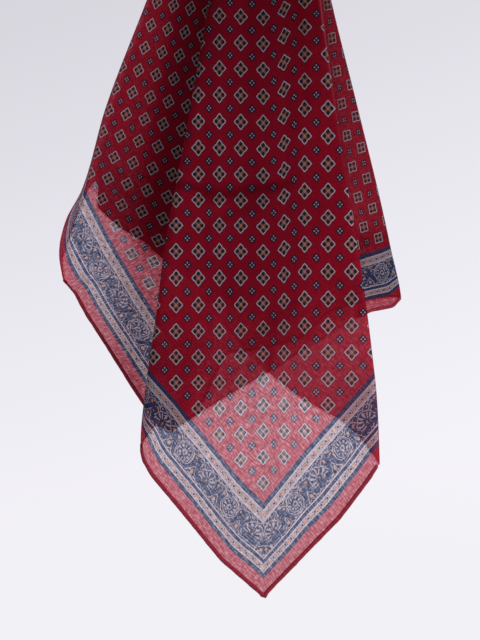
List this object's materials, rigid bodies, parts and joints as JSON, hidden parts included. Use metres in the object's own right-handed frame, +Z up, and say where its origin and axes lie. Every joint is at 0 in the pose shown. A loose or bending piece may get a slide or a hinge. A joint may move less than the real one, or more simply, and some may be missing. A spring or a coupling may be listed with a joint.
{
  "type": "cotton scarf",
  "caption": "Square printed cotton scarf gathered near one corner and hung, dropping in folded translucent stretches to a bordered point.",
  "frame": {"origin": "middle of the gathered neck, where the scarf is held up", "axes": "+Z up along the hang, +X to the right as seen from the front, the front fall faces -Y"},
  "size_m": [0.2533, 0.1069, 0.7401],
  "materials": {
    "printed_cotton": "thin plain-woven cotton voile, dyed deep red and printed, matt and see-through",
    "hem_cotton": "narrow rolled hem of the same cloth, darker where it is doubled, matt"
  },
  "bodies": {
    "root": {"front_fall": "printed_cotton", "right_fall": "printed_cotton", "left_fall": "printed_cotton", "back_fall": "printed_cotton", "left_return_fall": "printed_cotton", "inner_fall": "printed_cotton", "inner_return_fall": "printed_cotton", "gathered_corner": "printed_cotton", "front_hem": "hem_cotton", "right_hem": "hem_cotton", "left_hem": "hem_cotton", "back_hem": "hem_cotton", "left_return_hem": "hem_cotton", "inner_hem": "hem_cotton", "inner_return_hem": "hem_cotton"}
  },
  "joints": []
}
